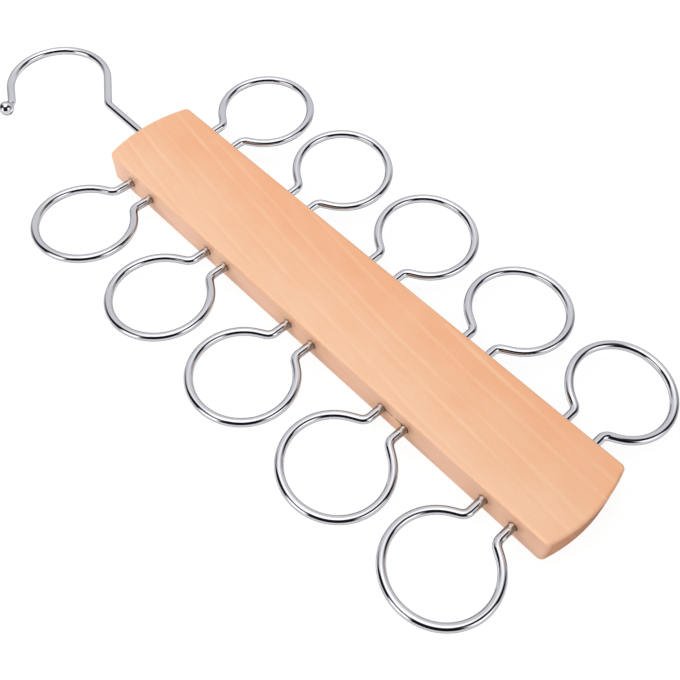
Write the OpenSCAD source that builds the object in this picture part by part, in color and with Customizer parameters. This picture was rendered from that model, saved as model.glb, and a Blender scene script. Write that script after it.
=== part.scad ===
// Scarf hanger: a wooden board with five wire rings on each long side and a swivel hook in one end.
// It lies on its back. +X runs from the hook to the foot, +Z is the front face,
// and the origin is the middle of the back face. All lengths are in millimetres.

/* [Board] */
// Length of the board along its middle, from tip to tip
board_l = 297; // [286:1:340]
// Width of the board
board_w = 50.5; // [44:0.5:64]
// Thickness of the board
board_t = 17; // [12:0.5:22]
// How far each end bows out past its corners
end_bow = 4.2; // [2:0.2:9]
// Radius of the corners, seen from the front
corner_r = 3; // [2.4:0.2:8]
// Radius that softens every edge
edge_r = 1.3; // [0.6:0.1:2]

/* [Rings] */
// Diameter of the ring wire
ring_wire_d = 4; // [3:0.1:4.6]
// Inside diameter of a ring
ring_id = 44; // [38:1:48]
// Distance between neighbouring rings on one side
ring_pitch = 60; // [55:1:62]
// Distance from the side of the board to the centre of a ring
ring_reach = 34; // [31:1:42]
// Distance between the two legs of the first, third and fifth rings
leg_gap_wide = 16; // [14:0.5:18]
// Distance between the two legs of the second and fourth rings
leg_gap_narrow = 13.8; // [12:0.2:16]
// Slope of a ring's shoulders, measured from the side of the board
shoulder_angle = 32; // [30:1:38]
// Radius of the bend between a leg and its shoulder, to the middle of the wire
shoulder_r = 4.8; // [3.5:0.1:5.5]

/* [Leg holes] */
// Depth that a leg is glued into the board
leg_depth = 14; // [8:0.5:17]
// Glue gap between a leg and the wall of its hole
glue_gap = 0.1; // [0.05:0.05:0.2]
// Depth left empty past the end of a leg
leg_end_gap = 0.6; // [0.2:0.1:1.5]
// Width of the worn rim round the mouth of a leg hole
rim_w = 0.4; // [0.1:0.1:0.8]
// Depth of that worn rim
rim_depth = 1.2; // [0.5:0.1:2]

/* [Hook] */
// Diameter of the hook wire
hook_wire_d = 4; // [3.4:0.1:4.8]
// Inside diameter of the hook
hook_id = 49; // [42:1:60]
// Distance from the end of the board to the centre of the hook's arc
hook_rise = 67.8; // [58:0.2:90]
// Distance from the shank's axis to the centre of the hook's arc
hook_offset = 9.4; // [6:0.2:14]
// Slope of the neck to the shank
neck_angle = 35; // [30:1:42]
// Radius of the bend between shank and neck, to the middle of the wire
neck_bend_r = 7; // [5:0.5:10]
// Angle that the hook's arc wraps through
hook_wrap = 186; // [180:1:205]
// Straight wire between the arc and the outward bend before the tip
tip_run = 8.8; // [4:0.2:14]
// Radius of that outward bend, to the middle of the wire
tip_bend_r = 5; // [4:0.5:9]
// Angle of that outward bend
tip_bend_angle = 36; // [20:1:50]
// Straight wire between that bend and the middle of the ball
tip_l = 3.8; // [3:0.2:8]
// Diameter of the ball on the tip
ball_d = 7.4; // [5.4:0.2:9]

/* [Hook bearing] */
// Outside diameter of the bush
bush_d = 8; // [7.4:0.1:9]
// Length of the bush
bush_l = 20; // [12:1:28]
// Depth of the bush below the tip of the board's end
bush_recess = 0.6; // [0.4:0.1:2]
// Running clearance between the shank and the bush
shank_clearance = 0.06; // [0.03:0.01:0.1]
// Diameter of the head that holds the shank in
head_d = 6.8; // [6:0.1:7.2]
// Length of that head
head_l = 2.4; // [1.5:0.1:4]
// End play between the head and the bush
head_play = 0.3; // [0.2:0.05:0.6]
// Depth left empty past the head
bore_end_gap = 1; // [0.5:0.1:3]

/* [Hidden] */
$fn = 64;
eps = 0.5;
seam = 0.02;
// The corner's disc stands this much proud, so that it crosses the side and the end instead of only touching them
corner_over = 0.05;

sides = ["left", "right"];
rings_per_side = 5;

// Each ring was glued in by hand: how far it leans up at its far side, and how far it is rolled
// about its legs, in degrees, from the hook end to the foot.
left_lean = [3, 1, 2, 2, 2.5];
left_roll = [-2, -3, 0, 3.5, 1];
right_lean = [2.5, 3.5, 1.5, -0.5, -1.5];
right_roll = [0, 3.5, 2.5, -1.5, 5.5];

// Middle of the board's thickness, where the legs and the shank go in
mid_z = board_t / 2;

// Board outline: the end arc, and the corner arcs that run into it
bow_r = (pow(board_w / 2, 2) + pow(end_bow, 2)) / (2 * end_bow);
bow_x = board_l / 2 - bow_r;
corner_y = board_w / 2 - corner_r;
corner_a = asin(corner_y / (bow_r - corner_r));
corner_x = bow_x + (bow_r - corner_r) * cos(corner_a);

// Ring wire: the shoulder is a straight that leaves the ring at a tangent and bends into the leg
ring_r = (ring_id + ring_wire_d) / 2;
shoulder_turn = 90 - shoulder_angle;
shoulder_bite = shoulder_r * tan(shoulder_turn / 2);

// Hook wire: the neck leaves the arc at a tangent and meets the shank's axis
hook_r = (hook_id + hook_wire_d) / 2;
neck_l = (hook_r * cos(neck_angle) - hook_offset) / sin(neck_angle);
neck_bite = neck_bend_r * tan(neck_angle / 2);
shank_out = hook_rise - hook_r * sin(neck_angle) - neck_l * cos(neck_angle);

// Bearing bore, measured from the tip of the board's end
bush_end = bush_recess + bush_l;
head_start = bush_end + head_play;
shank_in = head_start + head_l;
bore_l = shank_in + bore_end_gap;

function ring_name(side, i) = str("ring_", side, "_", i);
function ring_x(i) = (i - (rings_per_side + 1) / 2) * ring_pitch;
function leg_gap(i) = i % 2 == 1 ? leg_gap_wide : leg_gap_narrow;
function ring_lean(side, i) = (side == "left" ? left_lean : right_lean)[i - 1];
function ring_roll(side, i) = (side == "left" ? left_roll : right_roll)[i - 1];

// Places a ring's own frame: its origin is on the side of the board, midway between the legs, and +Y points out
module at_ring(side, i) {
    translate([ring_x(i), (side == "left" ? -1 : 1) * board_w / 2, mid_z])
        mirror([0, side == "left" ? 1 : 0, 0])
            rotate([ring_lean(side, i), ring_roll(side, i), 0])
                children();
}

// Places the shank's own frame: its origin is the tip of the board's end, and +Y points out along the shank
module at_hook() {
    translate([-board_l / 2, 0, mid_z])
        rotate([0, 0, 90])
            children();
}

// Round wire from the origin along +Y. Each step is [length] for a straight or [radius, angle] for a bend,
// where a positive angle turns left. Children are placed at its far end. A ball a hair thicker than
// the wire closes the seam between two steps.
module wire(d, steps, first = 0) {
    if (first < len(steps)) {
        step = steps[first];
        if (first > 0)
            sphere(d = d + seam);
        if (len(step) == 1) {
            rotate([-90, 0, 0])
                cylinder(d = d, h = step[0]);
            translate([0, step[0], 0])
                wire(d, steps, first + 1)
                    children();
        } else {
            turn = step[1];
            centre_x = turn > 0 ? -step[0] : step[0];
            translate([centre_x, 0, 0]) {
                rotate([0, 0, turn > 0 ? 0 : 180 + turn])
                    rotate_extrude(angle = abs(turn))
                        translate([step[0], 0])
                            circle(d = d);
                rotate([0, 0, turn])
                    translate([-centre_x, 0, 0])
                        wire(d, steps, first + 1)
                            children();
            }
        }
    } else {
        children();
    }
}

// Half of the board's cross-section: flat inside, softened at its outer edge, out to a distance r
module board_section(r) {
    square([r - edge_r, board_t]);
    translate([0, edge_r])
        square([r, board_t - 2 * edge_r]);
    for (y = [edge_r, board_t - edge_r])
        translate([r - edge_r, y])
            circle(r = edge_r);
}

// Round disc as thick as the board, with its rim softened in the same way
module board_disc(r) {
    rotate_extrude()
        board_section(r);
}

// Takes off the wood that lies past [x, y] and outside a disc of radius r round the centre
module round_off(x, y, centre, r) {
    difference() {
        translate([x, y, -eps])
            cube([board_w, abs(y) + board_w, board_t + 2 * eps]);
        translate(centre)
            board_disc(r);
    }
}

module board_blank() {
    difference() {
        // Bar with four softened long edges
        rotate([90, 0, 90])
            linear_extrude(board_l + 2 * eps, center = true) {
                board_section(board_w / 2);
                mirror([1, 0])
                    board_section(board_w / 2);
            }
        for (end = [0, 180])
            rotate([0, 0, end]) {
                // Bowed end
                round_off(corner_x - corner_r, -board_w, [bow_x, 0, 0], bow_r);
                // Two corners
                for (flip = [0, 1])
                    mirror([0, flip, 0])
                        round_off(corner_x, corner_y, [corner_x, corner_y, 0], corner_r + corner_over);
            }
    }
}

// Hole for one leg, from outside the board inwards along -Y, with its mouth at the origin
module leg_hole() {
    hole_d = ring_wire_d + 2 * glue_gap;
    mouth_d = hole_d + 2 * rim_w;
    rotate([90, 0, 0])
        cylinder(d = hole_d, h = leg_depth + leg_end_gap);
    rotate([90, 0, 0])
        cylinder(d1 = mouth_d, d2 = hole_d, h = rim_depth);
    rotate([-90, 0, 0])
        cylinder(d = mouth_d, h = edge_r);
}

module board() {
    color("#f3c098")
        difference() {
            board_blank();
            for (s = sides) for (i = [1:rings_per_side])
                at_ring(s, i)
                    for (x = [-1, 1])
                        translate([x * leg_gap(i) / 2, 0, 0])
                            leg_hole();
            at_hook()
                translate([0, eps, 0])
                    rotate([90, 0, 0])
                        cylinder(d = bush_d, h = bore_l + eps);
        }
}

module ring(side, i) {
    half_gap = leg_gap(i) / 2;
    shoulder_l = (ring_r * sin(shoulder_angle) - half_gap) / cos(shoulder_angle);
    corner = ring_reach - ring_r * cos(shoulder_angle) - shoulder_l * sin(shoulder_angle);
    leg = [leg_depth + corner - shoulder_bite];
    shoulder = [shoulder_l - shoulder_bite];
    bend = [shoulder_r, shoulder_turn];
    color("#d3d3db")
        at_ring(side, i)
            translate([-half_gap, -leg_depth, 0])
                wire(ring_wire_d, [
                    leg,
                    bend,
                    shoulder,
                    [ring_r, 2 * shoulder_angle - 360],
                    shoulder,
                    bend,
                    leg
                ]);
}

module hook() {
    color("#d3d3db")
        at_hook() {
            translate([0, -shank_in, 0]) {
                rotate([-90, 0, 0])
                    cylinder(d = head_d, h = head_l);
                wire(hook_wire_d, [
                    [shank_in + shank_out - neck_bite],
                    [neck_bend_r, -neck_angle],
                    [neck_l - neck_bite],
                    [hook_r, hook_wrap],
                    [tip_run],
                    [tip_bend_r, -tip_bend_angle],
                    [tip_l]
                ])
                    sphere(d = ball_d);
            }
        }
}

module hook_bush() {
    color("#ece8dc")
        at_hook()
            translate([0, -bush_end, 0])
                rotate([-90, 0, 0])
                    difference() {
                        cylinder(d = bush_d, h = bush_l);
                        translate([0, 0, -eps])
                            cylinder(d = hook_wire_d + 2 * shank_clearance, h = bush_l + 2 * eps);
                    }
}

board();
hook();
hook_bush();
for (s = sides) for (i = [1:rings_per_side])
    ring(s, i);
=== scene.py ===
"""Scarf hanger: wood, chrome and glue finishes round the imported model, with a pale studio."""
import collections
import math
import random

import bmesh
import bpy
from bpy.props import FloatProperty, FloatVectorProperty, IntProperty, PointerProperty
from mathutils import Euler, Matrix, Vector


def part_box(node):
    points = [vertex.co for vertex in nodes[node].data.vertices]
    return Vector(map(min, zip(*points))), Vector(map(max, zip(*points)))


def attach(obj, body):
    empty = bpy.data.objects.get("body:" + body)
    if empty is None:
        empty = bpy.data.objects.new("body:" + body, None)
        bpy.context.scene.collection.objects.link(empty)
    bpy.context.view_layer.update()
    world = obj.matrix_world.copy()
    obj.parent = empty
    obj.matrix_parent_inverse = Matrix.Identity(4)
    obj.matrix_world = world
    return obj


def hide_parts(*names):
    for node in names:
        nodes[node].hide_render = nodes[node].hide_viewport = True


bl_info = {
    "name": "Scarf Hanger",
    "version": (1, 0, 0),
    "blender": (4, 5, 0),
    "location": "3D View > Sidebar > Scarf Hanger",
    "description": "Dresses the wooden board, the wire rings and the swivel hook of a scarf hanger",
    "category": "Object",
}

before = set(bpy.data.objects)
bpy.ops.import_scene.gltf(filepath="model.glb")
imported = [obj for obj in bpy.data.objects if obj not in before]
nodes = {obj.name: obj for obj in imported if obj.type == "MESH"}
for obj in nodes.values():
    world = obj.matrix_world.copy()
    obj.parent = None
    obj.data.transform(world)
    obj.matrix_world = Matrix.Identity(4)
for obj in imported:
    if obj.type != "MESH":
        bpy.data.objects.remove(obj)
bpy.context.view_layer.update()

MM = 0.001
BODY = "hanger"
RINGS = sorted(name for name in nodes if name.startswith("ring_"))
# How far each ring leans up at its far side and rolls about its legs, in degrees, from the hook end
RING_TILTS = {
    "left": ((3, -2), (1, -3), (2, 0), (2, 3.5), (2.5, 1)),
    "right": ((2.5, 0), (3.5, 3.5), (1.5, 2.5), (-0.5, -1.5), (-1.5, 5.5)),
}
BOARD_LOW, BOARD_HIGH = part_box("board")
BOARD_SIZE = BOARD_HIGH - BOARD_LOW


def node_middle(name):
    """Middle of a node's box at rest."""
    low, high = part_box(name)
    return (low + high) / 2


def side_of(name):
    """-1 for a ring on the board's left side, and 1 for one on its right."""
    return -1 if node_middle(name).y < 0 else 1


# Shader helpers: each takes numbers or sockets, and returns its node's output socket


def join(tree, value, socket):
    """Links a socket to an input, or sets the input to a plain value."""
    if isinstance(value, bpy.types.NodeSocket):
        tree.links.new(value, socket)
    else:
        socket.default_value = value


def compute(tree, operation, *values, clamp=False):
    """One arithmetic step."""
    node = tree.nodes.new("ShaderNodeMath")
    node.operation = operation
    node.use_clamp = clamp
    for socket, value in zip(node.inputs, values):
        join(tree, value, socket)
    return node.outputs[0]


def product(tree, *values):
    """Multiplies its values."""
    result = values[0]
    for value in values[1:]:
        result = compute(tree, "MULTIPLY", result, value)
    return result


def swing(tree, value):
    """Shifts a value between 0 and 1 so that it swings about 0."""
    return compute(tree, "SUBTRACT", value, 0.5)


def fade(tree, value, start, end):
    """Rises smoothly from 0 where value is start to 1 where it is end."""
    node = tree.nodes.new("ShaderNodeMapRange")
    node.interpolation_type = "SMOOTHSTEP"
    join(tree, value, node.inputs["Value"])
    join(tree, start, node.inputs["From Min"])
    join(tree, end, node.inputs["From Max"])
    return node.outputs["Result"]


def mix_colour(tree, factor, first, second, mode="MIX"):
    """Mixes two colours."""
    node = tree.nodes.new("ShaderNodeMix")
    node.data_type = "RGBA"
    node.blend_type = mode
    join(tree, factor, node.inputs["Factor"])
    join(tree, first, node.inputs["A"])
    join(tree, second, node.inputs["B"])
    return node.outputs["Result"]


def tinted(tree, colour, share, tint):
    """A colour with some share of a tint multiplied over it."""
    return mix_colour(tree, share, colour, tint, "MULTIPLY")


def split(tree, vector):
    """The three parts of a vector."""
    node = tree.nodes.new("ShaderNodeSeparateXYZ")
    join(tree, vector, node.inputs[0])
    return node.outputs[0], node.outputs[1], node.outputs[2]


def combine(tree, x, y, z):
    """A vector from its three parts."""
    node = tree.nodes.new("ShaderNodeCombineXYZ")
    for socket, value in zip(node.inputs, (x, y, z)):
        join(tree, value, socket)
    return node.outputs[0]


def noise(tree, vector, scale, detail=2.0, distortion=0.0):
    """Soft noise about 0.5."""
    node = tree.nodes.new("ShaderNodeTexNoise")
    join(tree, vector, node.inputs["Vector"])
    join(tree, scale, node.inputs["Scale"])
    node.inputs["Detail"].default_value = detail
    node.inputs["Distortion"].default_value = distortion
    return node.outputs["Fac"]


def bump(tree, height, strength, distance):
    """A normal from a height."""
    node = tree.nodes.new("ShaderNodeBump")
    node.inputs["Strength"].default_value = strength
    node.inputs["Distance"].default_value = distance
    join(tree, height, node.inputs["Height"])
    return node.outputs["Normal"]


def new_group(name, inputs, outputs):
    """An empty shader group with a Position and plain numbers, as (tree, inputs inside, outputs inside)."""
    tree = bpy.data.node_groups.new(name, "ShaderNodeTree")
    tree.interface.new_socket("Position", in_out="INPUT", socket_type="NodeSocketVector")
    for label, default in inputs.items():
        socket = tree.interface.new_socket(label, in_out="INPUT", socket_type="NodeSocketFloat")
        socket.default_value = default
    for label in outputs:
        tree.interface.new_socket(label, in_out="OUTPUT", socket_type="NodeSocketFloat")
    inside = tree.nodes.new("NodeGroupInput").outputs
    return tree, inside, tree.nodes.new("NodeGroupOutput").inputs


def place_group(tree, group, **values):
    """A group in a material, with its inputs named in words joined by underscores."""
    node = tree.nodes.new("ShaderNodeGroup")
    node.node_tree = group
    for name, value in values.items():
        join(tree, value, node.inputs[name.replace("_", " ")])
    return node.outputs


def new_material(name):
    """A material with a Principled shader, as (material, tree, shader, position in millimetres)."""
    material = bpy.data.materials.new(name)
    material.use_nodes = True
    tree = material.node_tree
    shader = tree.nodes["Principled BSDF"]
    place = tree.nodes.new("ShaderNodeTexCoord").outputs["Object"]
    scale = tree.nodes.new("ShaderNodeVectorMath")
    scale.operation = "SCALE"
    join(tree, place, scale.inputs[0])
    scale.inputs["Scale"].default_value = 1 / MM
    return material, tree, shader, scale.outputs[0]


def finish_shader(tree, shader, colour, roughness, normal):
    """Gives a shader its changing colour, roughness and normal."""
    join(tree, colour, shader.inputs["Base Color"])
    join(tree, roughness, shader.inputs["Roughness"])
    join(tree, normal, shader.inputs["Normal"])


def surface_normal(tree):
    """The true surface normal's parts."""
    return split(tree, tree.nodes.new("ShaderNodeNewGeometry").outputs["Normal"])


def wear_group():
    """Handling marks, shared by every finish: soft smudges and fine scratches."""
    group = bpy.data.node_groups.get("Handling wear")
    if group:
        return group
    tree, given, result = new_group(
        "Handling wear",
        {"Smudge size": 12.0, "Scratch size": 0.6, "Roughness": 0.3, "Smudge": 0.05},
        ("Roughness", "Height"),
    )
    smudge_scale = compute(tree, "DIVIDE", 1.0, given["Smudge size"])
    scratch_scale = compute(tree, "DIVIDE", 1.0, given["Scratch size"])
    smudge = noise(tree, given["Position"], smudge_scale, detail=3.0)
    scratch = noise(tree, given["Position"], scratch_scale, detail=4.0)
    change = swing(tree, fade(tree, smudge, 0.35, 0.7))
    rough = compute(tree, "MULTIPLY_ADD", change, given["Smudge"], given["Roughness"])
    join(tree, rough, result["Roughness"])
    join(tree, scratch, result["Height"])
    return tree


# Noise drawn out along the board: share of the length it takes, scale and detail
Streak = collections.namedtuple("Streak", "along scale detail")
SWAY = Streak(0.25, 0.05, 2.0)
FIBRES = Streak(0.03, 1.5, 3.0)
FLECKS = Streak(0.22, 1.9, 1.0)
CLOUDS = Streak(0.6, 0.075, 3.0)
SWAY_WIDTH = 4.0
# How far the growth lines lean over from the top face to the back, as a share of the depth
LINE_LEAN = 0.45
# A growth line lies between these shares of its band
LINE_FIRST, LINE_LAST = 0.35, 0.75
# Distances in millimetres from a line's middle at which it ends and is full
LINE_EDGE, LINE_CORE = 1.5, 0.2
# The dark shade beside a line, by the same measures
SHADE_OFFSET = 2.0
SHADE_EDGE, SHADE_CORE = 2.2, 0.3
# Ranges of noise over which a line gains its strength, and flecks and fibres show
STRENGTH_RANGE = (0.25, 0.7)
FLECK_RANGE = (0.62, 0.78)
FIBRE_RANGE = (0.35, 0.75)
# The board's tone runs past its sides by this factor, and clouds shift it by this much
TONE_REACH = 1.25
CLOUD_SHARE = 1.1
# Shares of the normal across a face between which it counts as a side, an end and a long side
SIDE_RANGE = (0.8, 0.2)
END_RANGE = (0.5, 0.9)
LONG_SIDE_RANGE = (0.6, 0.95)
# Painted reflection, shown only to rays from the chrome: painted highlights on the board's top edge, in
# shares of its thickness, and a streak on the hook side of each hole, in shares of the thickness and in
# millimetres from the hole's middle
TOP_EDGE_RANGE = (0.74, 0.95)
STREAK_RISE_RANGE = (0.52, 0.66)
STREAK_NEAR_RANGE = (0.8, -0.3)
STREAK_FAR_RANGE = (-5.0, -3.0)
# How deep flecks and the split lie, as shares of the fibres' height
FLECK_DEPTH = -0.5
SPLIT_DEPTH = -6.0
# Millimetres of wobble in the edge of the stain and painted shadow, and in the split's line
STAIN_WOBBLE = 1.2
SPLIT_WOBBLE = 0.7
# The split shows where the board faces left. In millimetres, it fades in over this length from a
# hole's middle, and is broken at a place just past halfway
SPLIT_FACING = -0.9
SPLIT_END = 0.5
SPLIT_BREAK_PLACE = 0.6
SPLIT_BREAK_RANGE = (0.4, 1.0)


def streaks(tree, x, across, z, kind):
    """Noise of one kind of streak."""
    place = combine(tree, product(tree, x, kind.along), across, z)
    return noise(tree, place, kind.scale, detail=kind.detail)


def grain_group():
    """Flat-sawn pale hardwood: slanting growth lines, long fibres, short flecks and soft clouds."""
    tree, given, result = new_group(
        "Pale wood grain",
        {"Line spacing": 8.0, "Slope": 0.11, "Bow": 0.0002},
        ("Lines", "Shades", "Fibres", "Flecks", "Clouds"),
    )
    x, y, z = split(tree, given["Position"])
    # Distance across the grain, which falls away from the hook end and levels out towards the foot
    fall = product(tree, x, given["Slope"])
    bow = product(tree, x, x, given["Bow"])
    across = compute(tree, "SUBTRACT", compute(tree, "ADD", y, fall), bow)
    across = compute(tree, "MULTIPLY_ADD", z, LINE_LEAN, across)
    sway = swing(tree, streaks(tree, x, across, z, SWAY))
    across = compute(tree, "MULTIPLY_ADD", sway, SWAY_WIDTH, across)

    # One growth line to a band, at a place of its own in the band and stronger in some stretches
    bands = compute(tree, "DIVIDE", across, given["Line spacing"])
    band = compute(tree, "FLOOR", bands)
    dice = tree.nodes.new("ShaderNodeTexWhiteNoise")
    dice.noise_dimensions = "1D"
    join(tree, band, dice.inputs["W"])
    place = compute(tree, "MULTIPLY_ADD", dice.outputs["Value"], LINE_LAST - LINE_FIRST, LINE_FIRST)
    offset = compute(tree, "SUBTRACT", compute(tree, "FRACT", bands), place)
    offset = product(tree, offset, given["Line spacing"])
    stretch = noise(tree, combine(tree, product(tree, x, 0.02), band, 0.0), scale=1.0)
    strength = fade(tree, stretch, *STRENGTH_RANGE)
    lines = fade(tree, compute(tree, "ABSOLUTE", offset), LINE_EDGE, LINE_CORE)
    join(tree, product(tree, lines, strength), result["Lines"])
    beside = compute(tree, "ABSOLUTE", compute(tree, "ADD", offset, SHADE_OFFSET))
    shades = fade(tree, beside, SHADE_EDGE, SHADE_CORE)
    join(tree, product(tree, shades, strength), result["Shades"])

    join(tree, streaks(tree, x, across, z, FIBRES), result["Fibres"])
    join(tree, fade(tree, streaks(tree, x, across, z, FLECKS), *FLECK_RANGE), result["Flecks"])
    join(tree, streaks(tree, x, across, z, CLOUDS), result["Clouds"])
    return tree


def grained_colour(tree, grain, y, settings):
    """The wood's own colour, from its paler left side to its deeper right side."""
    reach = TONE_REACH * BOARD_SIZE.y / MM / 2
    cloud = swing(tree, grain["Clouds"])
    tone = compute(tree, "MULTIPLY_ADD", cloud, CLOUD_SHARE, fade(tree, y, -reach, reach), clamp=True)
    colour = mix_colour(tree, tone, settings.pale, settings.deep)
    layers = (
        (grain["Lines"], settings.line_share, settings.line),
        (grain["Shades"], settings.faint_share, settings.fibre),
        (fade(tree, grain["Fibres"], *FIBRE_RANGE), settings.faint_share, settings.fibre),
        (grain["Flecks"], settings.faint_share, settings.fleck),
    )
    for mask, share, paint in layers:
        colour = mix_colour(tree, product(tree, mask, share), colour, paint)
    return colour


def painted_reflection_colour(tree, colour, z, from_hole, settings):
    """Painted reflection: to rays from the chrome the wood shows a darker colour, with painted highlights on
    its top edge and a streak by each hole.
    """
    rise = compute(tree, "DIVIDE", z, BOARD_SIZE.z / MM)
    streak = product(
        tree,
        fade(tree, rise, *STREAK_RISE_RANGE),
        fade(tree, from_hole, *STREAK_NEAR_RANGE),
        fade(tree, from_hole, *STREAK_FAR_RANGE),
    )
    above = compute(tree, "MAXIMUM", streak, fade(tree, rise, *TOP_EDGE_RANGE))
    reflection_paint = mix_colour(tree, above, settings.mirrored, settings.painted_reflection_top)
    in_mirror = tree.nodes.new("ShaderNodeLightPath").outputs["Is Glossy Ray"]
    return mix_colour(tree, product(tree, in_mirror, settings.painted_reflection_share), colour, reflection_paint)


def wood_material(settings, ring):
    """Lacquered pale wood, paler along its left side, with stained hole mouths under painted leg shadows,
    one fine split, and a painted reflection for rays from the chrome.
    """
    material, tree, shader, place = new_material("Lacquered wood")
    grain = place_group(tree, grain_group(), Position=place, Line_spacing=settings.line_spacing / MM)
    wear = place_group(
        tree, wear_group(), Position=place, Smudge_size=22.0, Roughness=settings.roughness, Smudge=0.08
    )
    x, y, z = split(tree, place)
    normal_x, normal_y, normal_z = surface_normal(tree)
    colour = grained_colour(tree, grain, y, settings)

    # The sides are sawn across the growth rings and take a pinker tone, and the two ends a browner one
    side = fade(tree, compute(tree, "ABSOLUTE", normal_z), *SIDE_RANGE)
    colour = tinted(tree, colour, product(tree, side, settings.side_share), settings.side)
    end = product(tree, side, fade(tree, compute(tree, "ABSOLUTE", normal_x), *END_RANGE))
    colour = tinted(tree, colour, product(tree, end, settings.end_share), settings.end)

    # Glue stain with a painted shadow of each leg, laid over the long sides round the holes
    from_hole, near, close = hole_stain_and_shadow(tree, x, z, settings, ring)
    long_side = fade(tree, compute(tree, "ABSOLUTE", normal_y), *LONG_SIDE_RANGE)
    colour = tinted(tree, colour, product(tree, near, long_side), settings.wide_stain_and_shade)
    colour = tinted(tree, colour, product(tree, close, long_side), settings.stain)
    colour, split_mask = add_split(tree, colour, x, z, normal_y, settings)
    # Painted reflection: the wood shows other colours to rays from the chrome
    colour = painted_reflection_colour(tree, colour, z, from_hole, settings)

    height = compute(tree, "MULTIPLY_ADD", grain["Flecks"], FLECK_DEPTH, grain["Fibres"])
    height = compute(tree, "MULTIPLY_ADD", split_mask, SPLIT_DEPTH, height)
    normal = bump(tree, height, strength=0.12, distance=0.1 * MM)
    finish_shader(tree, shader, colour, wear["Roughness"], normal)
    shader.inputs["Coat Weight"].default_value = 0.35
    shader.inputs["Coat Roughness"].default_value = 0.16
    return material


def hole_stain_and_shadow(tree, x, z, settings, ring):
    """Glue stain round the leg holes, with a painted shadow of each leg over it, as (distance along the
    board, wide and faint, close and strong).
    """
    # The pairs of holes repeat at the rings' pitch, and every second pair stands closer
    pitch = ring_pitch() / MM
    number = compute(tree, "ROUND", compute(tree, "DIVIDE", x, pitch))
    from_ring = compute(tree, "SUBTRACT", x, product(tree, number, pitch))
    odd = compute(tree, "FLOORED_MODULO", number, 2.0)
    wide, narrow = ring.gap_wide / MM / 2, ring.gap_narrow / MM / 2
    half_gap = compute(tree, "MULTIPLY_ADD", odd, narrow - wide, wide)
    side = compute(tree, "SIGN", from_ring)
    from_hole = compute(tree, "SUBTRACT", from_ring, product(tree, side, half_gap))
    from_middle = compute(tree, "SUBTRACT", z, BOARD_SIZE.z / MM / 2)
    # The painted shadow of each leg falls upwards and towards the foot, so the darkening is twice as long
    # that way
    diagonal = math.sqrt(0.5)
    along = product(tree, compute(tree, "ADD", from_hole, from_middle), diagonal)
    across = product(tree, compute(tree, "SUBTRACT", from_hole, from_middle), diagonal)
    along = compute(tree, "MAXIMUM", product(tree, along, 0.5), product(tree, along, -1.0))
    squares = compute(tree, "ADD", product(tree, along, along), product(tree, across, across))
    distance = compute(tree, "SQRT", squares)
    ragged = swing(tree, noise(tree, combine(tree, x, 0.0, z), scale=0.5))
    distance = compute(tree, "MULTIPLY_ADD", ragged, STAIN_WOBBLE, distance)
    reach = settings.stain_radius / MM
    return from_hole, fade(tree, distance, 3 * reach, reach), fade(tree, distance, reach, 1.0)


def add_split(tree, colour, x, z, normal_y, settings):
    """A hairline split between the two holes of the left side's fourth ring, as (colour, mask)."""
    (start, start_level), (end, end_level) = leg_mouths("ring_left_4")
    start, end = start / MM, end / MM
    level = ((start_level + end_level) / 2 + settings.split_rise) / MM
    width = settings.split_width / MM
    wobble = product(tree, swing(tree, noise(tree, combine(tree, x, 0.0, 0.0), scale=0.5)), SPLIT_WOBBLE)
    line = compute(tree, "SUBTRACT", compute(tree, "SUBTRACT", z, level), wobble)
    gap = compute(tree, "ABSOLUTE", compute(tree, "SUBTRACT", x, (start + end) / 2 + SPLIT_BREAK_PLACE))
    mask = product(
        tree,
        fade(tree, compute(tree, "ABSOLUTE", line), width, width / 3),
        compute(tree, "LESS_THAN", normal_y, SPLIT_FACING),
        fade(tree, x, start, start + SPLIT_END),
        fade(tree, x, end, end - SPLIT_END),
        fade(tree, gap, *SPLIT_BREAK_RANGE),
    )
    return mix_colour(tree, mask, colour, settings.split), mask


def chrome_material(name, colour, settings):
    """Polished chrome plate with faint handling marks."""
    material, tree, shader, place = new_material(name)
    wear = place_group(
        tree, wear_group(), Position=place, Smudge_size=9.0, Scratch_size=0.35,
        Roughness=settings.roughness, Smudge=0.03,
    )
    colour = mix_colour(tree, noise(tree, place, scale=0.08), colour, settings.cool)
    normal = bump(tree, wear["Height"], strength=0.02, distance=0.02 * MM)
    finish_shader(tree, shader, colour, wear["Roughness"], normal)
    shader.inputs["Metallic"].default_value = 1.0
    shader.inputs["Specular Tint"].default_value = settings.edge
    return material


def bush_material(settings):
    """Off-white moulded nylon."""
    material, tree, shader, place = new_material("Moulded nylon")
    wear = place_group(tree, wear_group(), Position=place, Smudge_size=3.0, Roughness=0.5, Smudge=0.1)
    mottle = noise(tree, place, scale=0.7, detail=3.0)
    colour = mix_colour(tree, mottle, settings.light, settings.dark)
    normal = bump(tree, wear["Height"], strength=0.15, distance=0.05 * MM)
    finish_shader(tree, shader, colour, wear["Roughness"], normal)
    return material


def glue_material(settings):
    """Dried wood glue in the mouth of a hole, its brown painted very dark as the shade in that mouth."""
    material, tree, shader, place = new_material("Dried glue")
    wear = place_group(tree, wear_group(), Position=place, Smudge_size=1.5, Roughness=0.5, Smudge=0.2)
    mottle = fade(tree, noise(tree, place, scale=1.1, detail=3.0), 0.35, 0.7)
    colour = mix_colour(tree, mottle, settings.dark, settings.light)
    normal = bump(tree, wear["Height"], strength=0.4, distance=0.1 * MM)
    finish_shader(tree, shader, colour, wear["Roughness"], normal)
    shader.inputs["Specular IOR Level"].default_value = 0.25
    return material


def add_object(name, data):
    """A new object in the scene."""
    thing = bpy.data.objects.new(name, data)
    bpy.context.collection.objects.link(thing)
    return thing


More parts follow.
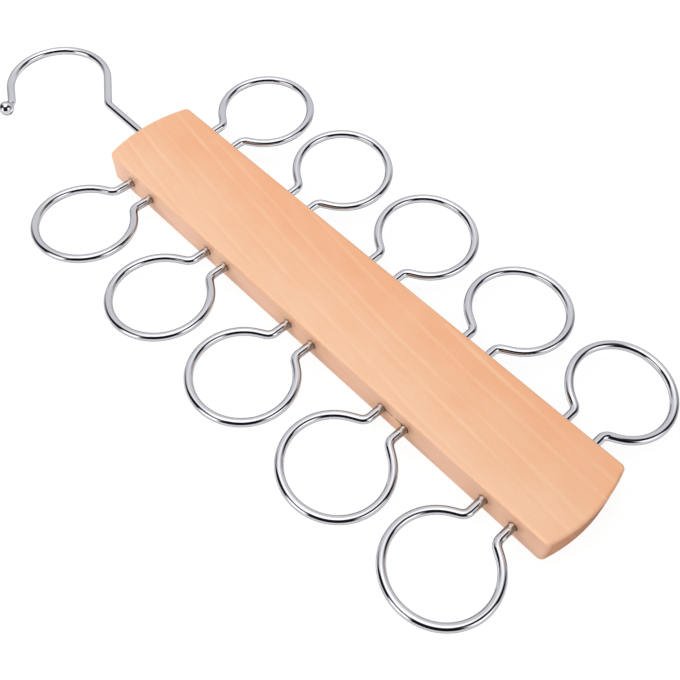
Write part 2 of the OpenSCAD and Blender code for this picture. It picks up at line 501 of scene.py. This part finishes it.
def add_piece(name, mesh):
    """A new object from a bmesh, with its faces turned outwards."""
    bmesh.ops.recalc_face_normals(mesh, faces=mesh.faces)
    data = bpy.data.meshes.new(name)
    mesh.to_mesh(data)
    mesh.free()
    return add_object(name, data)


def finish_node(node_name, material):
    """Gives a CAD node one material in every slot."""
    mesh = nodes[node_name].data
    if not mesh.materials:
        mesh.materials.append(material)
    for index in range(len(mesh.materials)):
        mesh.materials[index] = material


def ring_pitch():
    """Distance between neighbouring rings on one side."""
    left = [name for name in RINGS if side_of(name) < 0]
    places = sorted(node_middle(name).x for name in left)
    return (places[-1] - places[0]) / (len(places) - 1)


def leg_mouths(ring):
    """(x, z) of the middle of each leg where it enters the board's side, from the ring's own mesh."""
    side = side_of(ring) * BOARD_SIZE.y / 2
    cut = bmesh.new()
    cut.from_mesh(nodes[ring].data)
    geometry = cut.verts[:] + cut.edges[:] + cut.faces[:]
    section = bmesh.ops.bisect_plane(
        cut, geom=geometry, plane_co=(0, side, 0), plane_no=(0, 1, 0), dist=1e-7
    )["geom_cut"]
    points = [vert.co.copy() for vert in section if isinstance(vert, bmesh.types.BMVert)]
    cut.free()
    middle = sum(point.x for point in points) / len(points)
    mouths = []
    for leg in ([p for p in points if p.x < middle], [p for p in points if p.x > middle]):
        xs = [point.x for point in leg]
        zs = [point.z for point in leg]
        mouths.append(((min(xs) + max(xs)) / 2, (min(zs) + max(zs)) / 2))
    return mouths


# Share of the wire's radius by which its cut ends are blunted
BLUNT = 0.25
# The ball's fillet to the wire, as a share of the wire's radius, and the angles from the wire's side
# at which the ball's own rows start and end
BALL_FILLET = 0.3
BALL_FIRST = math.radians(6)
BALL_LAST = math.radians(178)


def bend_wire(steps, fineness):
    """Stations (x, y, heading) of a wire that starts along +Y and stays in one plane.

    Each step is [length] for a straight or [radius, turn] for a bend, where a positive turn goes left.
    """
    x, y, heading = 0.0, 0.0, math.pi / 2
    stations = [(x, y, heading)]
    for step in steps:
        if len(step) == 1:
            count = math.ceil(step[0] / fineness.straight_step)
            stride = step[0] / count
            for _ in range(count):
                x += stride * math.cos(heading)
                y += stride * math.sin(heading)
                stations.append((x, y, heading))
            continue
        radius, turn = step
        way = math.copysign(1, turn)
        centre_x = x - way * radius * math.sin(heading)
        centre_y = y + way * radius * math.cos(heading)
        count = max(4, math.ceil(abs(turn) / fineness.bend_step))
        for index in range(1, count + 1):
            now = heading + turn * index / count
            x = centre_x + way * radius * math.sin(now)
            y = centre_y - way * radius * math.cos(now)
            stations.append((x, y, now))
        heading += turn
    return stations


def ahead(station, distance):
    """The station a distance further along its own heading."""
    x, y, heading = station
    return (x + distance * math.cos(heading), y + distance * math.sin(heading), heading)


def draw_wire(name, stations, place, sides):
    """A closed smooth tube through stations (x, y, heading, radius), moved to its place."""
    mesh = bmesh.new()
    loops = []
    for x, y, heading, radius in stations:
        loop = []
        for step in range(sides):
            angle = math.tau * step / sides
            out = radius * math.cos(angle)
            up = radius * math.sin(angle)
            point = Vector((x - out * math.sin(heading), y + out * math.cos(heading), up))
            loop.append(mesh.verts.new(place @ point))
        loops.append(loop)
    for this, after in zip(loops, loops[1:]):
        for index in range(sides):
            below = (index + 1) % sides
            mesh.faces.new((this[index], this[below], after[below], after[index]))
    mesh.faces.new(loops[0])
    mesh.faces.new(loops[-1])
    piece = add_piece(name, mesh)
    for face in piece.data.polygons:
        face.use_smooth = len(face.vertices) == 4
    return piece


def ring_steps(settings, gap):
    """The bends of one ring from the end of one leg to the end of the other."""
    middle = (settings.inside_diameter + settings.wire_diameter) / 2
    slope = settings.shoulder_slope
    turn = math.pi / 2 - slope
    bite = settings.shoulder_bend * math.tan(turn / 2)
    shoulder = (middle * math.sin(slope) - gap / 2) / math.cos(slope)
    corner = settings.reach - middle * math.cos(slope) - shoulder * math.sin(slope)
    leg = [settings.leg_depth + corner - bite]
    straight = [shoulder - bite]
    bend = [settings.shoulder_bend, turn]
    return [leg, bend, straight, [middle, 2 * slope - math.tau], straight, bend, leg]


def build_ring(name, settings, fineness, material):
    """One ring as a smooth bent wire, in the place of its CAD node."""
    side, number = name.split("_")[1:]
    index = int(number) - 1
    gap = settings.gap_narrow if index % 2 else settings.gap_wide
    lean, roll = RING_TILTS[side][index]
    way = -1 if side == "left" else 1
    place = (
        Matrix.Translation((node_middle(name).x, 0, 0))
        @ Matrix.Translation((0, way * BOARD_SIZE.y / 2, BOARD_SIZE.z / 2))
        @ Matrix.Scale(way, 4, (0, 1, 0))
        @ Matrix.Rotation(math.radians(roll), 4, "Y")
        @ Matrix.Rotation(math.radians(lean), 4, "X")
        @ Matrix.Translation((-gap / 2, -settings.leg_depth, 0))
    )
    radius = settings.wire_diameter / 2
    path = bend_wire(ring_steps(settings, gap), fineness)
    blunt = BLUNT * radius
    stations = [(*path[0], radius - blunt), (*ahead(path[0], blunt), radius)]
    stations += [(*station, radius) for station in path[1:-1]]
    stations += [(*ahead(path[-1], -blunt), radius), (*path[-1], radius - blunt)]
    piece = draw_wire("chrome_" + name, stations, place, fineness.sides)
    piece.data.materials.append(material)
    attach(piece, BODY)
    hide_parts(name)


def build_hook(settings, fineness, material):
    """The hook with its ball tip and the head hidden in the board, in the place of its CAD node."""
    middle = (settings.inside_diameter + settings.wire_diameter) / 2
    slope = settings.neck_slope
    neck = (middle * math.cos(slope) - settings.offset) / math.sin(slope)
    bite = settings.neck_bend * math.tan(slope / 2)
    shank = settings.rise - middle * math.sin(slope) - neck * math.cos(slope) + settings.depth
    path = bend_wire([
        [shank - bite],
        [settings.neck_bend, -slope],
        [neck - bite],
        [middle, settings.wrap],
        [settings.tip_run],
        [settings.tip_bend, -settings.tip_turn],
        [settings.tip_length],
    ], fineness)
    radius = settings.wire_diameter / 2
    head = settings.head_diameter / 2
    ball = settings.ball_diameter / 2
    blunt = BLUNT * radius
    start = path[0]
    stations = [
        (*start, head - blunt),
        (*ahead(start, blunt), head),
        (*ahead(start, settings.head_length - blunt / 2), head),
        (*ahead(start, settings.head_length), head - blunt / 2),
        (*ahead(start, settings.head_length), radius),
    ]
    # The wire runs up to where the ball swallows it, and a small fillet eases it in
    seat = math.asin(radius / ball)
    middle_of_ball = path[-1]
    reach = ball * math.cos(seat) + BALL_FILLET * radius
    clear = [
        point for point in path
        if math.dist(point[:2], start[:2]) > settings.head_length
        and math.dist(point[:2], middle_of_ball[:2]) > reach
    ]
    stations += [(*point, radius) for point in clear]
    stations.append((*ahead(middle_of_ball, -reach), radius))
    first = seat + BALL_FIRST
    steps = fineness.sides // 2
    for step in range(steps):
        angle = first + (BALL_LAST - first) * step / (steps - 1)
        stations.append((*ahead(middle_of_ball, -ball * math.cos(angle)), ball * math.sin(angle)))
    place = Matrix.Translation((BOARD_LOW.x + settings.depth, 0, BOARD_SIZE.z / 2)) @ Matrix.Rotation(
        math.pi / 2, 4, "Z"
    )
    piece = draw_wire("chrome_hook", stations, place, fineness.sides)
    piece.data.materials.append(material)
    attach(piece, "swivel_hook")
    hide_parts("hook")


# The band of a collar that is filled flush with the board's side, and takes the wood's finish
RIM_BAND = 3
# How far a collar reaches into the wire, so that no gap shows, and its foot stands off the wire
COLLAR_TUCK = 0.02 * MM
COLLAR_FOOT = 0.05 * MM
# The open crease's least width and its depth
CREASE_WIDTH = 0.1 * MM
CREASE_DEPTH = 0.25 * MM
# How far the flush rim overlaps the board's side, and stands proud of it
RIM_OVERLAP = 0.03 * MM
RIM_PROUD = 0.015 * MM
# Uneven height of the glue, by lobes round the leg: each (lobes, share)
LUMPS = ((2, 0.25), (5, 0.12))


def glue_collar(mesh, x, z, side, settings, dice):
    """Adds one closed collar of glue round a leg to mesh, with the worn rim of its hole filled flush."""
    leg = settings.leg_diameter / 2
    mouth = leg + settings.mouth_width
    phase = dice.uniform(0, math.tau)
    rows = []
    for step in range(settings.collar_steps):
        angle = math.tau * step / settings.collar_steps
        lump = 1 + sum(
            share * math.sin(lobes * angle + turn * phase)
            for turn, (lobes, share) in enumerate(LUMPS, start=1)
        )
        open_side = max(0, math.cos(angle - settings.crease_turn))
        crease = leg + CREASE_WIDTH + settings.crease * open_side
        # Each point is (distance from the wire's middle, distance out of the board's side)
        profile = (
            (leg - COLLAR_TUCK, settings.climb),
            (leg + COLLAR_FOOT, 0.02 * MM),
            (crease, -CREASE_DEPTH),
            (crease + 0.05 * MM, -0.01 * MM),
            (mouth + RIM_OVERLAP, RIM_PROUD),
            (leg + 0.14 * MM, -settings.depth),
            (leg - COLLAR_TUCK, -settings.depth),
        )
        row = []
        for radius, out in profile:
            rise = out * lump if radius < leg else out
            place = (
                x + radius * math.cos(angle),
                side * (BOARD_SIZE.y / 2 + rise),
                z + radius * math.sin(angle),
            )
            row.append(mesh.verts.new(place))
        rows.append(row)
    for this, after in zip(rows, rows[1:] + rows[:1]):
        for index in range(len(this)):
            below = (index + 1) % len(this)
            face = mesh.faces.new((this[index], this[below], after[below], after[index]))
            face.material_index = 1 if index == RIM_BAND else 0


def build_glue(settings, wood):
    """One piece that holds a glue collar for each leg."""
    dice = random.Random(settings.seed)
    mesh = bmesh.new()
    for ring in RINGS:
        for x, z in leg_mouths(ring):
            glue_collar(mesh, x, z, side_of(ring), settings, dice)
    piece = add_piece("glue_collars", mesh)
    for face in piece.data.polygons:
        face.use_smooth = face.material_index == 0
    piece.data.materials.append(glue_material(settings))
    piece.data.materials.append(wood)
    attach(piece, BODY)
    return piece


def build_floor(settings):
    """A pale floor that keeps the hanger's soft shadow, and that the camera looks through."""
    data = bpy.data.meshes.new("floor")
    half = settings.floor_size / 2
    corners = [(-half, -half), (half, -half), (half, half), (-half, half)]
    level = BOARD_LOW.z - settings.floor_drop
    data.from_pydata([(x, y, level) for x, y in corners], [], [(0, 1, 2, 3)])
    floor = add_object("floor", data)
    material = bpy.data.materials.new("Pale floor")
    material.use_nodes = True
    tree = material.node_tree
    tree.nodes.clear()
    path = tree.nodes.new("ShaderNodeLightPath").outputs
    matt = tree.nodes.new("ShaderNodeBsdfDiffuse")
    shadowed = [settings.floor_shaded] * 3 + [1]
    shade = mix_colour(tree, path["Is Camera Ray"], settings.floor_colour, shadowed)
    join(tree, shade, matt.inputs["Color"])
    # The camera sees the white backdrop through the floor, and a hook that is turned below it
    thin = tree.nodes.new("ShaderNodeBsdfTransparent")
    through = [settings.floor_seen] * 3 + [1]
    join(tree, mix_colour(tree, path["Is Camera Ray"], [0, 0, 0, 1], through), thin.inputs["Color"])
    both = tree.nodes.new("ShaderNodeAddShader")
    join(tree, matt.outputs[0], both.inputs[0])
    join(tree, thin.outputs[0], both.inputs[1])
    # Polished metal looks through the floor at the studio's own ground, and so does a face that
    # lies on the floor, which would be black in a view from below
    near = compute(tree, "LESS_THAN", path["Ray Length"], settings.floor_touch)
    touching = product(tree, near, path["Is Diffuse Ray"])
    cover = tree.nodes.new("ShaderNodeMixShader")
    join(tree, compute(tree, "MAXIMUM", path["Is Glossy Ray"], touching), cover.inputs[0])
    join(tree, both.outputs[0], cover.inputs[1])
    join(tree, tree.nodes.new("ShaderNodeBsdfTransparent").outputs[0], cover.inputs[2])
    output = tree.nodes.new("ShaderNodeOutputMaterial")
    join(tree, cover.outputs[0], output.inputs["Surface"])
    data.materials.append(material)


# The studio that polished metal mirrors, as cloths and panels round the object. Angles are in whole
# degrees: a cloth is centred at turn (round the object, from +X) and rise (above the floor)
Cloth = collections.namedtuple("Cloth", "turn half_width side_blur rise half_height end_blur strength")
CRISP, SOFT, HAZY = 5, 10, 20

# In the order they are laid over each other
DARK_CLOTHS = {
    "gap on the left": Cloth(-135, 20, CRISP, 30, 30, HAZY, 1),
    "shade beside that gap": Cloth(-150, 20, HAZY, 15, 20, HAZY, 0.8),
    "bar over the left": Cloth(-110, 30, CRISP, 40, 10, CRISP, 1),
    "front": Cloth(-40, 40, SOFT, 35, 30, CRISP, 1),
    "top of the front": Cloth(-40, 20, HAZY, 55, 10, CRISP, 1),
    "foot of the front": Cloth(-50, 35, HAZY, 15, 20, CRISP, 1),
    "bar along the roof": Cloth(5, 35, HAZY, 60, 5, SOFT, 0.9),
    "right": Cloth(30, 30, SOFT, 55, 20, CRISP, 1),
    "gap on the right": Cloth(50, 15, CRISP, 35, 25, HAZY, 1),
    "shade on the right": Cloth(60, 20, HAZY, 25, 45, CRISP, 0.5),
    "behind": Cloth(160, 25, HAZY, -15, 15, CRISP, 0.7),
    "bar over the front": Cloth(-60, 55, CRISP, 50, 5, CRISP, 1),
}
BRIGHT_PANELS = {
    "left": Cloth(-95, 15, SOFT, 10, 20, HAZY, 0.9),
    "front": Cloth(10, 15, HAZY, 20, 15, CRISP, 1),
    "low on the right": Cloth(60, 20, HAZY, -35, 10, CRISP, 0.7),
    "low on the left": Cloth(-150, 15, CRISP, -35, 10, CRISP, 0.9),
}
Disc = collections.namedtuple("Disc", "turn rise radius strength")
DARK_DISCS = {
    "under the right": Disc(75, -70, 15, 1),
    "under the left": Disc(-170, -70, 15, 0.7),
}
# Rises at which the tent's roof, the ground and the bright skylight start and are full
ROOF_FROM, ROOF_FULL = 45, 64
GROUND_FROM, GROUND_FULL = 2, -10
SKYLIGHT_FROM, SKYLIGHT_FULL = 63, 73


def within(tree, value, middle, half_width, soft):
    """1 where value is near middle, falling to 0 past half_width."""
    away = compute(tree, "ABSOLUTE", compute(tree, "SUBTRACT", value, middle))
    return fade(tree, away, half_width + soft / 2, half_width - soft / 2)


def in_disc(tree, direction, disc):
    """1 inside a round cloth, falling to 0 past its radius."""
    turn, rise = math.radians(disc.turn), math.radians(disc.rise)
    aim = tree.nodes.new("ShaderNodeVectorMath")
    aim.operation = "DOT_PRODUCT"
    join(tree, direction, aim.inputs[0])
    aim.inputs[1].default_value = (
        math.cos(turn) * math.cos(rise), math.sin(turn) * math.cos(rise), math.sin(rise)
    )
    outer = math.cos(math.radians(disc.radius + SOFT / 2))
    inner = math.cos(math.radians(disc.radius - SOFT / 2))
    return fade(tree, aim.outputs["Value"], outer, inner)


def studio_reflection(tree, settings):
    """What polished metal sees: a grey tent with a bright roof, bright panels and dark cloths."""
    direction = tree.nodes.new("ShaderNodeTexCoord").outputs["Generated"]
    x, y, z = split(tree, direction)
    turn = compute(tree, "DEGREES", compute(tree, "ARCTAN2", y, x))
    rise = compute(tree, "DEGREES", compute(tree, "ARCSINE", z))

    roof = fade(tree, rise, ROOF_FROM, ROOF_FULL)
    level = mix_colour(tree, roof, settings.tent, settings.roof)
    ground = fade(tree, rise, GROUND_FROM, GROUND_FULL)
    level = mix_colour(tree, ground, level, settings.ground)
    for colour, cloths in ((settings.dark, DARK_CLOTHS), (settings.panel, BRIGHT_PANELS)):
        for cloth in cloths.values():
            patch = product(
                tree,
                within(tree, turn, cloth.turn, cloth.half_width, cloth.side_blur),
                within(tree, rise, cloth.rise, cloth.half_height, cloth.end_blur),
                cloth.strength,
            )
            level = mix_colour(tree, patch, level, colour)
    for disc in DARK_DISCS.values():
        patch = product(tree, in_disc(tree, direction, disc), disc.strength)
        level = mix_colour(tree, patch, level, settings.dark)
    skylight = fade(tree, rise, SKYLIGHT_FROM, SKYLIGHT_FULL)
    return mix_colour(tree, skylight, level, settings.panel)


def build_world(settings):
    """Even light, a white backdrop for the camera and the studio for reflections."""
    world = bpy.data.worlds.new("Studio")
    bpy.context.scene.world = world
    world.use_nodes = True
    tree = world.node_tree
    tree.nodes.clear()
    path = tree.nodes.new("ShaderNodeLightPath").outputs
    even = [settings.ambient] * 3 + [1]
    colour = mix_colour(tree, path["Is Glossy Ray"], even, studio_reflection(tree, settings))
    colour = mix_colour(tree, path["Is Camera Ray"], colour, (1, 1, 1, 1))
    background = tree.nodes.new("ShaderNodeBackground")
    join(tree, colour, background.inputs["Color"])
    output = tree.nodes.new("ShaderNodeOutputWorld")
    join(tree, background.outputs[0], output.inputs["Surface"])


def build_lamp(name, place, power, size):
    """A soft square lamp that faces the middle of the board."""
    lamp = bpy.data.lights.new(name, "AREA")
    lamp.energy = power
    lamp.size = size
    holder = add_object(name, lamp)
    holder.location = place
    holder.rotation_euler = (-Vector(place)).to_track_quat("-Z", "Y").to_euler()
    holder.visible_glossy = False


def build_camera(settings):
    """The photograph's view of the hanger."""
    lens = bpy.data.cameras.new("camera")
    lens.lens = settings.focal_length
    lens.clip_start = 0.01
    camera = add_object("camera", lens)
    camera.location = settings.camera_place
    camera.rotation_euler = Euler(settings.camera_turn, "XYZ")
    bpy.context.scene.camera = camera


def colour_property(name, description, default):
    """A colour, in linear light."""
    return FloatVectorProperty(
        name=name, description=description, subtype="COLOR", size=4, min=0, max=2, default=(*default, 1)
    )


def length_property(name, description, millimetres):
    """A length, stored in metres."""
    return FloatProperty(name=name, description=description, default=millimetres * MM, min=0, unit="LENGTH")


def angle_property(name, description, degrees):
    """An angle, stored in radians."""
    return FloatProperty(name=name, description=description, default=math.radians(degrees), unit="ROTATION")


def place_property(name, description, default):
    """A place in the scene, in metres."""
    return FloatVectorProperty(name=name, description=description, subtype="TRANSLATION", default=default)


def share_property(name, description, default):
    """A share of the whole."""
    return FloatProperty(
        name=name, description=description, default=default, min=0, max=1, subtype="FACTOR"
    )


def power_property(name, description, watts):
    """The power of a lamp."""
    return FloatProperty(name=name, description=description, default=watts, min=0, unit="POWER")


class WoodSettings(bpy.types.PropertyGroup):
    """Colours and marks of the wooden board"""

    pale: colour_property("Pale", "Wood along the left side", (0.885, 0.54, 0.345))
    deep: colour_property("Deep", "Wood along the right side", (0.86, 0.425, 0.22))
    line: colour_property("Line", "Pale growth lines", (0.93, 0.61, 0.40))
    fibre: colour_property("Fibre", "Long darker fibres", (0.85, 0.41, 0.225))
    fleck: colour_property("Fleck", "Short dark flecks", (0.74, 0.36, 0.20))
    side: colour_property("Side tint", "Multiplied over the sides", (0.95, 0.905, 0.94))
    end: colour_property("End tint", "Multiplied over the ends", (1.0, 0.76, 0.56))
    # Glue stain and painted shade round the holes: wide and faint, then close and strong
    wide_stain_and_shade: colour_property("Handled", "Multiplied over the sides near the holes", (0.95, 0.93, 0.86))
    stain: colour_property("Stain", "Glue stain, multiplied round the holes", (0.66, 0.57, 0.48))
    split: colour_property("Split", "Depth of the hairline split", (0.06, 0.025, 0.015))
    # Painted reflection: colours and share that the wood shows only to rays from the chrome
    mirrored: colour_property("Mirrored", "What the chrome picks up from the wood", (0.17, 0.10, 0.055))
    painted_reflection_top: colour_property("Mirrored top", "The same, near the board's top edge", (0.95, 0.80, 0.70))
    line_share: share_property("Line share", "How strongly the pale growth lines show", 0.5)
    faint_share: share_property("Faint share", "How strongly shades, fibres and flecks show", 0.22)
    side_share: share_property("Side share", "How strongly the sides are tinted", 0.8)
    end_share: share_property("End share", "How strongly the ends are tinted", 0.9)
    painted_reflection_share: share_property("Mirrored share", "How strongly the mirrored colours show", 0.8)
    line_spacing: length_property("Line spacing", "Distance between growth lines", 9.6)
    roughness: share_property("Roughness", "Roughness of the lacquer", 0.42)
    stain_radius: length_property("Stain radius", "Reach of a stain from its hole's middle", 4.3)
    split_rise: length_property("Split rise", "Height of the split above the holes' middle", 1)
    split_width: length_property("Split width", "Half width of the split", 0.5)


class RingSettings(bpy.types.PropertyGroup):
    """Sizes of a ring's bent wire"""

    wire_diameter: length_property("Wire", "Diameter of the wire", 4)
    inside_diameter: length_property("Inside", "Inside diameter of the ring", 44)
    reach: length_property("Reach", "From the board's side to the ring's middle", 34)
    gap_wide: length_property("Wide gap", "Between the legs of the first, third and fifth rings", 16)
    gap_narrow: length_property("Narrow gap", "Between the legs of the second and fourth rings", 13.8)
    shoulder_slope: angle_property("Shoulder slope", "Slope of the shoulders to the board's side", 32)
    shoulder_bend: length_property("Shoulder bend", "Radius between a leg and its shoulder", 4.8)
    leg_depth: length_property("Leg depth", "Depth of a leg in the board", 14)


class HookSettings(bpy.types.PropertyGroup):
    """Sizes of the hook's bent wire"""

    wire_diameter: length_property("Wire", "Diameter of the wire", 4)
    inside_diameter: length_property("Inside", "Inside diameter of the hook", 49)
    rise: length_property("Rise", "From the board's end to the middle of the arc", 67.8)
    offset: length_property("Offset", "From the shank's axis to the middle of the arc", 9.4)
    neck_slope: angle_property("Neck slope", "Slope of the neck to the shank", 35)
    neck_bend: length_property("Neck bend", "Radius between the shank and the neck", 7)
    wrap: angle_property("Wrap", "Angle that the arc wraps through", 186)
    tip_run: length_property("Tip run", "Straight wire after the arc", 8.8)
    tip_bend: length_property("Tip bend", "Radius of the outward bend before the tip", 5)
    tip_turn: angle_property("Tip turn", "Angle of that bend", 36)
    tip_length: length_property("Tip length", "From that bend to the middle of the ball", 3.8)
    ball_diameter: length_property("Ball", "Diameter of the ball on the tip", 7.4)
    depth: length_property("Depth", "Depth of the shank and its head in the board", 23.3)
    head_diameter: length_property("Head", "Diameter of the head that holds the shank in", 6.8)
    head_length: length_property("Head length", "Length of that head", 2.4)


class WireFineness(bpy.types.PropertyGroup):
    """How finely the bent wires are drawn"""

    sides: IntProperty(name="Sides", description="Sides of a wire's section", default=40, min=8)
    straight_step: length_property("Straight step", "Longest face along a straight", 1.5)
    bend_step: angle_property("Bend step", "Widest face along a bend", 3.5)


class ChromeSettings(bpy.types.PropertyGroup):
    """Finish of the rings and the hook"""

    rings: colour_property("Rings", "Main colour of the plate on the rings", (0.90, 0.90, 0.92))
    hook: colour_property("Hook", "Main colour of the newer plate on the hook", (0.99, 0.99, 1.0))
    cool: colour_property("Cool", "Cooler patches of the plate", (0.88, 0.88, 0.93))
    edge: colour_property("Edge", "Tint of the plate seen edge on", (0.30, 0.30, 0.33))
    roughness: share_property("Roughness", "Roughness of the plate", 0.035)


class BushSettings(bpy.types.PropertyGroup):
    """Finish of the bush that the shank turns in"""

    light: colour_property("Light", "Main colour of the nylon", (0.86, 0.84, 0.77))
    dark: colour_property("Dark", "Darker mottling", (0.76, 0.73, 0.64))


class GlueSettings(bpy.types.PropertyGroup):
    """Collars of dried glue round the legs"""

    # The glue's brown is darkened by painted shade, as in the mouths of the holes
    dark: colour_property("Dark", "Thick glue", (0.07, 0.026, 0.008))
    light: colour_property("Light", "Thin glue", (0.22, 0.09, 0.03))
    leg_diameter: length_property("Leg diameter", "Diameter of the wire", 4)
    mouth_width: length_property("Mouth width", "Width of the rim round a hole's mouth", 0.5)
    depth: length_property("Depth", "Depth of the glue in the mouth", 0.9)
    climb: length_property("Climb", "How far the glue climbs the leg", 0.22)
    crease: length_property("Crease", "Extra width of the open crease on one side", 0.3)
    crease_turn: FloatProperty(
        name="Crease turn", description="Side of the crease, up from the foot", default=0.15, unit="ROTATION"
    )
    collar_steps: IntProperty(name="Steps", description="Points round one collar", default=40, min=12)
    seed: IntProperty(name="Seed", description="Seed of the collars' lumps", default=7)


class StudioSettings(bpy.types.PropertyGroup):
    """Camera, lamps, floor and the studio that the chrome reflects"""

    camera_place: place_property("Camera place", "Place of the camera", (0.17804, -0.17949, 0.35727))
    camera_turn: FloatVectorProperty(
        name="Camera turn", description="Rotation of the camera", subtype="EULER",
        default=tuple(math.radians(angle) for angle in (33.636, -1.162, 46.328)),
    )
    focal_length: FloatProperty(
        name="Focal length", description="Lens, on a 36 mm sensor", default=48.53, unit="CAMERA"
    )
    ambient: share_property("Ambient", "Even light from all sides", 0.68)
    key_power: power_property("Key power", "Power of the lamp overhead", 2.0)
    key_size: length_property("Key size", "Side of the lamp overhead", 700)
    key_place: place_property("Key place", "Place of the lamp overhead", (-0.25, 0.1, 0.9))
    side_power: power_property("Side power", "Power of the lamp on the left", 3.2)
    side_size: length_property("Side size", "Side of the lamp on the left", 600)
    side_place: place_property("Side place", "Place of the lamp on the left", (-0.18, -0.75, 0.45))
    floor_size: length_property("Floor size", "Side of the floor", 3000)
    floor_drop: length_property("Floor drop", "Gap between the board and the floor", 0.1)
    floor_colour: colour_property("Floor colour", "Floor as the object sees it", (0.85, 0.85, 0.85))
    floor_seen: share_property("Floor seen", "Share of the white backdrop seen through it", 0.9)
    floor_touch: length_property("Floor touch", "A face this near the floor is lit through it", 2)
    floor_shaded: share_property("Floor shaded", "Share of white that a shadow can take away", 0.13)
    tent: colour_property("Tent", "Cloth of the tent", (0.63, 0.63, 0.66))
    ground: colour_property("Ground", "Cloth under the hanger", (0.69, 0.69, 0.71))
    roof: colour_property("Roof", "Upper cloth of the tent", (0.95, 0.95, 0.97))
    panel: colour_property("Panel", "Bright panels", (1.3, 1.3, 1.3))
    dark: colour_property("Dark", "Dark cloths", (0.008, 0.008, 0.010))


class HANGER_OT_board(bpy.types.Operator):
    """Gives the board its lacquered wood"""

    bl_idname = "hanger.board"
    bl_label = "Finish the board"

    def execute(self, context):
        scene = context.scene
        finish_node("board", wood_material(scene.hanger_wood, scene.hanger_ring))
        return {"FINISHED"}


class HANGER_OT_rings(bpy.types.Operator):
    """Draws the ten rings as smooth chrome wire"""

    bl_idname = "hanger.rings"
    bl_label = "Draw the rings"

    def execute(self, context):
        scene = context.scene
        plate = scene.hanger_chrome
        chrome = chrome_material("Chrome plate on rings", plate.rings, plate)
        for name in RINGS:
            build_ring(name, scene.hanger_ring, scene.hanger_fineness, chrome)
        return {"FINISHED"}


class HANGER_OT_hook(bpy.types.Operator):
    """Draws the swivel hook as smooth chrome wire"""

    bl_idname = "hanger.hook"
    bl_label = "Draw the hook"

    def execute(self, context):
        scene = context.scene
        plate = scene.hanger_chrome
        chrome = chrome_material("Chrome plate on hook", plate.hook, plate)
        build_hook(scene.hanger_hook, scene.hanger_fineness, chrome)
        return {"FINISHED"}


class HANGER_OT_bush(bpy.types.Operator):
    """Gives the hook's bush its nylon"""

    bl_idname = "hanger.bush"
    bl_label = "Finish the bush"

    def execute(self, context):
        finish_node("hook_bush", bush_material(context.scene.hanger_bush))
        return {"FINISHED"}


class HANGER_OT_glue(bpy.types.Operator):
    """Adds the glue collars round the ring legs"""

    bl_idname = "hanger.glue"
    bl_label = "Add the glue collars"

    def execute(self, context):
        build_glue(context.scene.hanger_glue, bpy.data.materials["Lacquered wood"])
        return {"FINISHED"}


class HANGER_OT_stage(bpy.types.Operator):
    """Sets up the floor, the studio, the lamps and the camera"""

    bl_idname = "hanger.stage"
    bl_label = "Set up the stage"

    def execute(self, context):
        settings = context.scene.hanger_studio
        build_floor(settings)
        build_world(settings)
        build_lamp("key_lamp", settings.key_place, settings.key_power, settings.key_size)
        build_lamp("side_lamp", settings.side_place, settings.side_power, settings.side_size)
        build_camera(settings)
        context.scene.view_settings.view_transform = "Standard"
        return {"FINISHED"}


OPERATORS = (
    HANGER_OT_stage, HANGER_OT_board, HANGER_OT_rings, HANGER_OT_hook, HANGER_OT_bush, HANGER_OT_glue
)
SETTINGS = {
    "hanger_wood": WoodSettings,
    "hanger_ring": RingSettings,
    "hanger_hook": HookSettings,
    "hanger_fineness": WireFineness,
    "hanger_chrome": ChromeSettings,
    "hanger_bush": BushSettings,
    "hanger_glue": GlueSettings,
    "hanger_studio": StudioSettings,
}


class HANGER_PT_sidebar(bpy.types.Panel):
    """Lists the steps that dress the scarf hanger"""

    bl_label = "Scarf Hanger"
    bl_idname = "HANGER_PT_sidebar"
    bl_space_type = "VIEW_3D"
    bl_region_type = "UI"
    bl_category = "Scarf Hanger"

    def draw(self, context):
        for operator in OPERATORS:
            self.layout.operator(operator.bl_idname)


def register():
    """Registers the settings, the operators and the panel."""
    for name, group in SETTINGS.items():
        bpy.utils.register_class(group)
        setattr(bpy.types.Scene, name, PointerProperty(type=group))
    for operator in OPERATORS:
        bpy.utils.register_class(operator)
    bpy.utils.register_class(HANGER_PT_sidebar)


def unregister():
    """Takes away what register added."""
    bpy.utils.unregister_class(HANGER_PT_sidebar)
    for operator in reversed(OPERATORS):
        bpy.utils.unregister_class(operator)
    for name, group in SETTINGS.items():
        delattr(bpy.types.Scene, name)
        bpy.utils.unregister_class(group)


def main():
    """Dresses the hanger."""
    register()
    bpy.ops.hanger.stage()
    bpy.ops.hanger.board()
    bpy.ops.hanger.rings()
    bpy.ops.hanger.hook()
    bpy.ops.hanger.bush()
    bpy.ops.hanger.glue()


if __name__ == "__main__":
    main()
